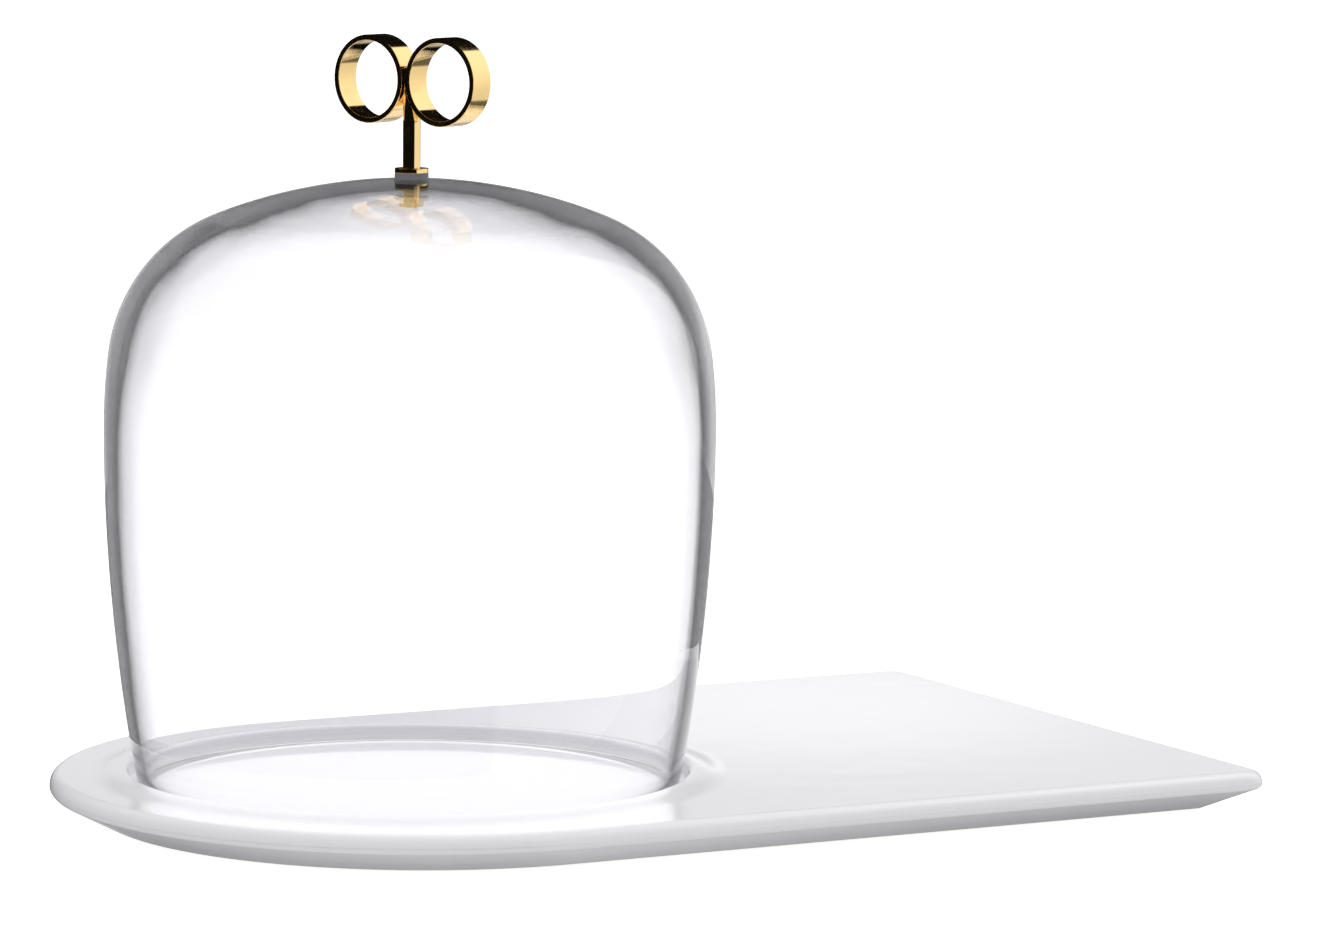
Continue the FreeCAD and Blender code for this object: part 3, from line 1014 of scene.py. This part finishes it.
# ---- glass bell ------------------------------------------------------------
@dataclass(frozen=True)
class BellWall:
    """One face of the glass: four arcs that run into each other, foot to hole."""

    widest: float
    pole: float
    lower: float
    upper: float
    shoulder: float
    crown: float

    def points(self, widest_z: float, foot_z: float, hole: float,
               steps: tuple[int, int, int, int]) -> list[Point]:
        """The face's profile.

        Args:
            widest_z: the height of the widest place.
            foot_z: the height where the foot's bead starts.
            hole: the radius of the handle's hole.
            steps: spans in each of the four arcs.

        Returns:
            (radius, height) points from the foot to the hole.
        """
        upper_at = (self.widest - self.upper, widest_z)
        crown_at = (0.0, self.pole - self.crown)
        to_upper, to_crown = self.upper - self.shoulder, self.crown - self.shoulder
        across = (crown_at[0] - upper_at[0], crown_at[1] - upper_at[1])
        apart = math.hypot(*across)
        along = (to_upper ** 2 - to_crown ** 2 + apart ** 2) / (2 * apart)
        aside = math.sqrt(to_upper ** 2 - along ** 2)
        unit = (across[0] / apart, across[1] / apart)
        shoulder_at = (upper_at[0] + along * unit[0] - aside * unit[1],
                       upper_at[1] + along * unit[1] + aside * unit[0])

        def heading(centre: Point) -> float:
            """The direction of the shoulder's centre from another arc's."""
            return math.atan2(shoulder_at[1] - centre[1], shoulder_at[0] - centre[0])

        foot = -math.asin((widest_z - foot_z) / self.lower)
        rim = math.acos(hole / self.crown)
        points = arc((self.widest - self.lower, widest_z), self.lower, foot, 0, steps[0])
        points += arc(upper_at, self.upper, 0, heading(upper_at), steps[1])[1:]
        points += arc(shoulder_at, self.shoulder, heading(upper_at), heading(crown_at),
                      steps[2])[1:]
        points += arc(crown_at, self.crown, heading(crown_at), rim, steps[3])[1:]
        return points


@dataclass
class GlassBell:
    """The blown bell, with the gaskets and the sleeve that line its hole."""

    bench: Bench
    widest_above_foot: float = 117.0 * MM
    wall_at_widest: float = 4.2 * MM
    wall_at_pole: float = 5.5 * MM
    pole_above_foot: float = 198.2 * MM
    bead: float = 1.65 * MM
    outer_arcs: tuple[float, ...] = (640 * MM, 199 * MM, 55 * MM, 174.5 * MM)
    inner_arcs: tuple[float, ...] = (700 * MM, 194 * MM, 50 * MM, 169 * MM)
    arc_steps: tuple[int, int, int, int] = (34, 40, 34, 26)
    bead_steps: int = 16
    drilled_span: float = 1.4 * MM
    segments: int = 288
    waviness: float = 0.10 * MM
    wave_size: float = 70 * MM
    wave_seed: float = 3.0
    gasket_bore: float = 2.05 * MM
    gasket_edge: float = 0.3 * MM

    def __post_init__(self) -> None:
        """Reads the glass's places from the frame."""
        low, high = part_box("glass_dome")
        self.place = Vector(((low.x + high.x) / 2, (low.y + high.y) / 2, low.z))
        self.radius = (high.x - low.x) / 2
        sleeve_low, sleeve_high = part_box("hole_sleeve")
        self.hole = (sleeve_high.x - sleeve_low.x) / 2

    def profile(self) -> list[Point]:
        """The glass's closed profile above its foot, anticlockwise."""
        outer = BellWall(self.radius, self.pole_above_foot, *self.outer_arcs)
        inner = BellWall(self.radius - self.wall_at_widest,
                         self.pole_above_foot - self.wall_at_pole, *self.inner_arcs)
        out, back = (wall.points(self.widest_above_foot, self.bead, self.hole, self.arc_steps)
                     for wall in (outer, inner))
        back.reverse()
        middle = (out[0][0] + back[-1][0]) / 2
        half = (out[0][0] - back[-1][0]) / 2
        rim = [(middle - half * math.cos(a), self.bead - self.bead * math.sin(a))
               for a in np.linspace(0, math.pi, self.bead_steps + 1)[1:-1]]
        drilled = cut_flats([out[-1], back[0]], self.drilled_span)[1:-1]
        whole = out + drilled + back + rim + [out[0]]
        self.outside = len(out) / len(whole)
        return whole

    def make(self, gasket: GasketSilicone) -> None:
        """Builds the glass and what lines its hole."""
        profile = self.profile()
        glass = ClearGlass(outside=self.outside)
        bell = self.bench.turn("blown_bell", profile, glass.material(), self.place,
                               self.segments, waviness=self.waviness,
                               wave_size=self.wave_size, seed=self.wave_seed)
        self.bench.hand_over(bell, Body.BELL, Slot.GLASS, ["glass_dome"])
        rubber = gasket.material()
        self.make_gasket("outer_gasket", rubber, upside=True)
        self.make_gasket("inner_gasket", rubber, upside=False)
        self.bench.dress("hole_sleeve", rubber)

    def crown_height(self, radius: float, upside: bool) -> float:
        """How far the crown has fallen from its pole at this radius."""
        ball = (self.outer_arcs if upside else self.inner_arcs)[-1]
        return ball - math.sqrt(ball ** 2 - radius ** 2)

    def make_gasket(self, node: str, rubber: bpy.types.Material, upside: bool) -> None:
        """Makes a gasket that beds on the crown.

        Args:
            node: the CAD node that it stands for.
            rubber: its material.
            upside: whether it lies on top of the glass.
        """
        low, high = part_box(node)
        radius, bore = (high.x - low.x) / 2, self.gasket_bore
        pole = self.place.z + self.pole_above_foot - (0 if upside else self.wall_at_pole)
        bed_out = pole - self.crown_height(radius, upside)
        bed_in = pole - self.crown_height(bore, upside)
        if upside:
            corners = [(bore, bed_in, 0.08 * MM), (radius, bed_out, 0.12 * MM),
                       (radius, high.z, self.gasket_edge), (bore, high.z, 0.08 * MM)]
        else:
            corners = [(bore, low.z, 0.08 * MM), (radius, low.z, self.gasket_edge),
                       (radius, bed_out, 0.12 * MM), (bore, bed_in, 0.08 * MM)]
        profile = rounded(corners, 5)
        piece = self.bench.turn("bedded_" + node, profile, rubber,
                                (self.place.x, self.place.y, 0.0), 96)
        self.bench.hand_over(piece, Body.BELL, Slot.GASKET, [node])


# ---- handle ----------------------------------------------------------------
@dataclass
class RingHandle:
    """The brass handle: two finger rings on a stem, clamped through the glass."""

    bench: Bench
    yaw: float = math.radians(24)
    ring_outer: float = 14.45 * MM
    ring_wall: float = 1.85 * MM
    ring_width: float = 9.0 * MM
    ring_edge: float = 0.3 * MM
    collar_bore: float = 2.9 * MM
    washer_bore: float = 2.15 * MM
    pitch: float = 0.7 * MM
    thread_depth: float = 0.4 * MM
    rings_per_pitch: int = 10

    def __post_init__(self) -> None:
        """Reads the handle's places from the frame."""
        low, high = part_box("stem_collar")
        self.axis = Vector(((low.x + high.x) / 2, (low.y + high.y) / 2, 0))

    def make_ring(self, node: str, brass: bpy.types.Material) -> None:
        """Turns one finger ring and stands it where the frame has it."""
        low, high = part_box(node)
        centre = (low + high) / 2
        outer, edge, half = self.ring_outer, self.ring_edge, self.ring_width / 2
        inner = outer - self.ring_wall
        profile = rounded([(inner, -half, edge), (outer, -half, edge),
                           (outer, half, edge), (inner, half, edge)], 6)
        lie = Euler((0, QUARTER_TURN, self.yaw))
        ring = self.bench.turn("polished_" + node, profile, brass, centre, 192, tuple(lie))
        self.bench.hand_over(ring, Body.HANDLE, Slot.POLISHED_BRASS, [node])

    def make_stud(self, brass: bpy.types.Material) -> None:
        """Rolls the stud's thread over the length that the frame gives it."""
        low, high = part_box("threaded_stud")
        length = high.z - low.z
        stud = self.bench.grow("rolled_stud", self.bench.threading, {
            "Radius": (high.x - low.x) / 2, "Pitch": self.pitch, "Depth": self.thread_depth,
            "Length": length, "Lead": self.pitch, "Segments": 32,
            "Place": (self.axis.x, self.axis.y, low.z),
            "Rows": 3 + self.rings_per_pitch * round(length / self.pitch), "Material": brass})
        self.bench.hand_over(stud, Body.HANDLE, Slot.TURNED_BRASS, ["threaded_stud"])

    def make_collar(self, brass: bpy.types.Material) -> None:
        """Turns the flange that bears on the outer gasket."""
        low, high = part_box("stem_collar")
        radius, bore = (high.x - low.x) / 2, self.collar_bore
        profile = rounded([(bore, low.z, 0.05 * MM), (radius, low.z, 0.1 * MM),
                           (radius, high.z, 0.25 * MM), (bore, high.z, 0.05 * MM)], 6)
        collar = self.bench.turn("turned_collar", profile, brass, self.axis, 128)
        self.bench.hand_over(collar, Body.HANDLE, Slot.POLISHED_BRASS, ["stem_collar"])

    def make_washer(self, brass: bpy.types.Material) -> None:
        """Turns the washer under the glass's crown."""
        low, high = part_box("clamp_washer")
        radius, bore = (high.x - low.x) / 2, self.washer_bore
        profile = rounded([(bore, low.z, 0.06 * MM), (radius, low.z, 0.15 * MM),
                           (radius, high.z, 0.08 * MM), (bore, high.z, 0.06 * MM)], 5)
        washer = self.bench.turn("turned_washer", profile, brass, self.axis, 96)
        self.bench.hand_over(washer, Body.HANDLE, Slot.TURNED_BRASS, ["clamp_washer"])

    def make(self, polished: PolishedBrass, turned: TurnedBrass) -> None:
        """Builds the handle and its clamp."""
        bright, plain = polished.material(), turned.material()
        for node in ("finger_ring_front", "finger_ring_back"):
            self.make_ring(node, bright)
        self.bench.dress("handle_stem", bright)
        self.make_collar(bright)
        self.make_stud(plain)
        self.make_washer(plain)
        self.bench.dress("clamp_nut", plain)


# ---- studio ----------------------------------------------------------------
@dataclass(frozen=True)
class Pane:
    """A soft-edged bright panel far from the object; its angles are in degrees.

    The azimuth is anticlockwise from the camera, and heights are above the horizon.
    """

    azimuth: float
    half_width: float
    bottom: float
    top: float
    soft: float = 2.0


@dataclass
class Studio:
    """A pale floor, soft light from above and a camera on a long lens."""

    target: tuple[float, float, float] = (25.64 * MM, 0.0, 110.13 * MM)
    azimuth: float = math.radians(-28.21)
    elevation: float = math.radians(6.88)
    distance: float = 2.001
    roll: float = math.radians(0.55)
    lens: float = 160.63
    floor_half: float = 15.0
    floor_gap: float = 0.05 * MM
    card_half: float = 0.60
    card_height: float = 0.30
    card_distance: float = 0.75
    card_spot: float = -0.096
    card_spot_height: float = 0.12
    window: Pane = Pane(114.0, 28.0, -29.0, 60.0)
    low_pane: Pane = Pane(62.0, 24.0, -29.0, 3.0)
    high_pane: Pane = Pane(62.0, 24.0, 3.0, 60.0)
    sill: Pane = Pane(90.0, 52.0, -80.0, -29.0)
    gap: Pane = Pane(180.0, 8.0, -40.0, -1.0, 6.0)
    high_pane_share: float = 0.4
    sill_share: float = 0.15
    gap_share: float = 0.6
    dark_room: float = 0.004

    def towards_camera(self) -> Vector:
        """The level direction from the object to the camera."""
        return Vector((math.sin(self.azimuth), -math.cos(self.azimuth), 0))

    def add_camera(self) -> None:
        """Stands the camera at its azimuth and elevation about the target."""
        data = bpy.data.cameras.new("studio_camera")
        data.lens, data.sensor_width = self.lens, 36.0
        data.clip_start, data.clip_end = 0.05, 100.0
        camera = bpy.data.objects.new("studio_camera", data)
        bpy.context.scene.collection.objects.link(camera)
        back = self.towards_camera() * math.cos(self.elevation)
        back.z = math.sin(self.elevation)
        camera.location = Vector(self.target) + back * self.distance
        camera.rotation_mode = "QUATERNION"
        camera.rotation_quaternion = (back.to_track_quat("Z", "Y")
                                      @ Quaternion((0, 0, 1), self.roll))
        bpy.context.scene.camera = camera

    def add_floor(self) -> None:
        """Lays the pale floor that the object stands on."""
        book = Recipe("studio_floor")
        grain = book.noise(120 * MM, 2.0)
        rays = book.node("ShaderNodeLightPath")
        bounce = Wire(book.tree, rays.outputs["Is Diffuse Ray"])
        floor_paint = book.finish(book.principled(
            Base_Color=book.mix_colour(0.05 * grain, (0.50, 0.50, 0.50), (0.47, 0.47, 0.475)),
            Roughness=0.9, Specular_IOR_Level=0.0,
            Emission_Color=book.mix_colour(bounce, (1.0, 1.0, 1.0), (0.43, 0.43, 0.43)),
            Emission_Strength=0.80))
        half = self.floor_half
        mesh = bpy.data.meshes.new("studio_floor")
        low = -self.floor_gap
        mesh.from_pydata([(-half, -half, low), (half, -half, low), (half, half, low),
                          (-half, half, low)], [], [(0, 1, 2, 3)])
        mesh.materials.append(floor_paint)
        floor = Bench.link("studio_floor", mesh)
        floor.visible_glossy = False

    def add_card(self) -> None:
        """Stands a low white card behind the object, which only gloss can see.

        It is brightest at one spot and fades towards its ends and its top.
        """
        book = Recipe("white_card")
        away = -self.towards_camera()
        aside = Vector((-away.y, away.x, 0)) * self.card_half
        foot = Vector((self.target[0], self.target[1], 0)) + away * self.card_distance
        brightest = foot + self.card_spot * aside + Vector((0, 0, self.card_spot_height))
        apart = book.wire("ShaderNodeVectorMath", {"operation": "LENGTH"},
                          {0: book.centred(brightest, 0.0, (1.0, 1.0, 5.0))}, "Value")
        sideways = book.wire("ShaderNodeVectorMath", {"operation": "LENGTH"},
                             {0: book.centred(foot, 0.0, (1.0, 1.0, 0.0))}, "Value")
        ends = book.step(sideways, 0.30, self.card_half, 1.0, 0.0)
        top = book.step(self_height(book), 0.14, self.card_height, 1.0, 0.0)
        glow = book.step(apart, 0.04, 0.22, 0.88, 0.52) * ends * top
        black, white = (0.0, 0.0, 0.0), (1.0, 1.0, 1.0)
        paint = book.finish(book.principled(
            Base_Color=black, Specular_IOR_Level=0.0, Emission_Strength=1.0,
            Emission_Color=book.mix_colour(glow, black, white)))
        rise = Vector((0, 0, self.card_height))
        mesh = bpy.data.meshes.new("white_card")
        mesh.from_pydata([foot + aside, foot - aside, foot - aside + rise, foot + aside + rise],
                         [], [(0, 1, 2, 3)])
        mesh.materials.append(paint)
        card = Bench.link("white_card", mesh)
        for kind in ("camera", "diffuse", "transmission", "shadow", "volume_scatter"):
            setattr(card, "visible_" + kind, False)

    def add_world(self) -> None:
        """Surrounds the object: a backdrop, a soft sky and what shines in gloss."""
        world = bpy.data.worlds.new("studio")
        world.use_nodes = True
        world.node_tree.nodes.clear()
        bpy.context.scene.world = world
        book = NodeBook(world.node_tree)
        heading = book.wire("ShaderNodeTexCoord", output="Generated")
        height = book.wire("ShaderNodeSeparateXYZ", {}, {0: heading}, 2)
        rise = height.math("ARCSINE")
        backdrop = book.step(rise, math.radians(35), math.radians(75), 1.36, 0.90)
        sky = book.step(rise, 0.0, math.radians(75), 0.50, 1.42)
        gloss = self.gloss(book, heading, rise)
        rays = book.node("ShaderNodeLightPath")
        soft = Wire(book.tree, rays.outputs["Is Diffuse Ray"])
        through = Wire(book.tree, rays.outputs["Transmission Depth"])
        shiny = Wire(book.tree, rays.outputs["Is Glossy Ray"]) * through.math("LESS_THAN", 0.5)
        strength = soft * sky + (1 - soft) * (shiny * gloss + (1 - shiny) * backdrop)
        light = book.node("ShaderNodeBackground", {}, {
            "Color": (1.0, 1.0, 1.0), "Strength": strength})
        book.node("ShaderNodeOutputWorld", {}, {"Surface": Wire(book.tree, light.outputs[0])})

    def gloss(self, book: NodeBook, heading: Wire, rise: Wire) -> Wire:
        """What a polished surface mirrors: a dark room, a tall window, a pale wall.

        Args:
            book: the world's nodes.
            heading: the direction looked in.
            rise: its angle above the horizon, in radians.

        Returns:
            The brightness in that direction.
        """
        window, low_pane, high_pane, sill, gap = (
            self.panel(book, heading, rise, pane)
            for pane in (self.window, self.low_pane, self.high_pane, self.sill, self.gap))
        fade = book.step(rise, math.radians(-30), math.radians(34), 0.88, 1.28)
        return (self.dark_room + (window + low_pane) * fade + high_pane * self.high_pane_share
                + sill * self.sill_share + gap * self.gap_share)

    def panel(self, book: NodeBook, heading: Wire, rise: Wire, pane: Pane) -> Wire:
        """The mask of one panel of the studio.

        Args:
            book: the world's nodes.
            heading: the direction looked in.
            rise: its angle above the horizon, in radians.
            pane: the panel's place and size.

        Returns:
            1 inside the panel, 0 outside.
        """
        middle = self.towards_camera()
        middle.rotate(Euler((0, 0, math.radians(pane.azimuth))))
        aside = Vector((-middle.y, middle.x, 0))
        along = book.wire("ShaderNodeVectorMath", {"operation": "DOT_PRODUCT"},
                          {0: heading, 1: tuple(middle)}, "Value")
        across = book.wire("ShaderNodeVectorMath", {"operation": "DOT_PRODUCT"},
                           {0: heading, 1: tuple(aside)}, "Value")
        turn = abs(across.math("ARCTAN2", along))
        edge, half = math.radians(pane.soft), math.radians(pane.half_width)
        bottom, top = math.radians(pane.bottom), math.radians(pane.top)
        inside = book.step(turn, half + edge, half - edge)
        above = book.step(rise, bottom - edge, bottom + edge)
        below = book.step(rise, top + edge, top - edge)
        return inside * above * below

    def add_lamp(self, name: str, azimuth: float, elevation: float, distance: float,
                 size: tuple[float, float], watts: float) -> None:
        """Hangs one area lamp that faces the object.

        Args:
            name: the lamp's name.
            azimuth: degrees anticlockwise from the camera's direction.
            elevation: degrees above the floor.
            distance: how far it is from the target.
            size: its width and height.
            watts: its power.
        """
        data = bpy.data.lights.new(name, "AREA")
        data.shape, data.size, data.size_y = "RECTANGLE", *size
        data.energy = watts
        lamp = bpy.data.objects.new(name, data)
        lamp.visible_glossy = False
        lamp.visible_transmission = False
        bpy.context.scene.collection.objects.link(lamp)
        away = self.towards_camera() * math.cos(math.radians(elevation))
        away.rotate(Euler((0, 0, math.radians(azimuth))))
        away.z = math.sin(math.radians(elevation))
        lamp.location = Vector(self.target) + away * distance
        lamp.rotation_mode = "QUATERNION"
        lamp.rotation_quaternion = away.to_track_quat("Z", "Y")

    def make(self) -> None:
        """Sets up the whole studio."""
        scene = bpy.context.scene
        scene.view_settings.view_transform = "Standard"
        scene.view_settings.look = "None"
        self.add_camera()
        self.add_floor()
        self.add_card()
        self.add_world()
        self.add_lamp("ceiling_lamp", 150.0, 68.0, 1.6, (1.0, 0.6), 7.0)


def main() -> None:
    """Builds every sub-assembly in order, then the studio."""
    logging.basicConfig(level=logging.INFO, format="%(name)s: %(message)s")
    bench = Bench()
    board = ServingBoard(bench)
    handle = RingHandle(bench)
    board.make(Porcelain(bare_below=board.base_z))
    GripPads(bench).make(PadSilicone())
    GlassBell(bench).make(GasketSilicone())
    handle.make(PolishedBrass(turn=handle.yaw), TurnedBrass(centre=tuple(handle.axis)))
    Studio().make()


if __name__ == "__main__":
    main()
